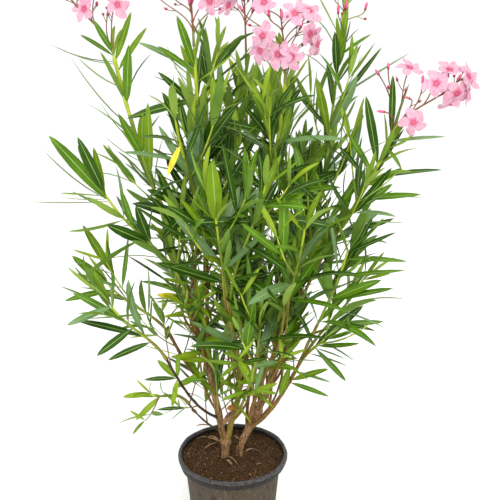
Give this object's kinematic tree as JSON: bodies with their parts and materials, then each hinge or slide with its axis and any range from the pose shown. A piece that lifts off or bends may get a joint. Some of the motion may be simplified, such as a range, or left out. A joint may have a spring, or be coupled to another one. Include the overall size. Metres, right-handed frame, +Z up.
{
  "type": "potted oleander",
  "caption": "Flowering oleander shrub with narrow leaves in whorls and pink flower trusses, growing from forked trunks in a round tapered plastic nursery pot.",
  "frame": {"origin": "middle of the pot's flat underside", "axes": "+Z up along the pot's axis, -Y towards the front of the picture, +X towards its right"},
  "size_m": [0.8463, 0.6441, 1.2756],
  "materials": {
    "pot": "dusty, slightly worn",
    "compost": "crumbly, moist",
    "bark": "smooth young bark",
    "foliage": "leathery, satin",
    "blossom": "soft, matt"
  },
  "bodies": {
    "root": {"pot": "pot", "compost": "compost", "trunk_left": "bark", "trunk_right": "bark", "limb_left": "bark", "limb_centre": "bark", "bough_outer_left": "bark", "bough_tall_left": "bark", "bough_back_left": "bark", "bough_low_left": "bark", "bough_front_left": "bark", "bough_lowest_left": "bark", "bough_low_back_left": "bark", "bough_front": "bark", "bough_centre": "bark", "bough_back": "bark", "bough_low_centre": "bark", "bough_inner": "bark", "bough_right": "bark", "bough_back_right": "bark", "bough_low_back_right": "bark", "bough_right_side": "bark", "bough_front_right": "bark", "foliage_upper_left": "foliage", "foliage_far_left": "foliage", "foliage_tall_left": "foliage", "foliage_front_left": "foliage", "foliage_top_centre": "foliage", "foliage_back_centre": "foliage", "foliage_front_centre": "foliage", "foliage_front_upper": "foliage", "foliage_inner": "foliage", "foliage_tall_right": "foliage", "foliage_upper_right": "foliage", "foliage_right_front": "foliage", "foliage_far_right": "foliage", "foliage_low_right": "foliage", "foliage_front_right": "foliage", "foliage_left_middle": "foliage", "foliage_left_front": "foliage", "foliage_lowest_left": "foliage", "foliage_low_centre": "foliage", "foliage_low_back_left": "foliage", "foliage_low_back_right": "foliage", "foliage_back_left_low": "foliage", "foliage_back_left_tall": "foliage", "foliage_back_right_low": "foliage", "foliage_back_right_tall": "foliage", "truss_upper_left": "blossom", "truss_tall_left": "blossom", "truss_inner": "blossom", "truss_top_centre": "blossom", "truss_tall_right": "blossom", "truss_upper_right": "blossom"}
  },
  "joints": []
}
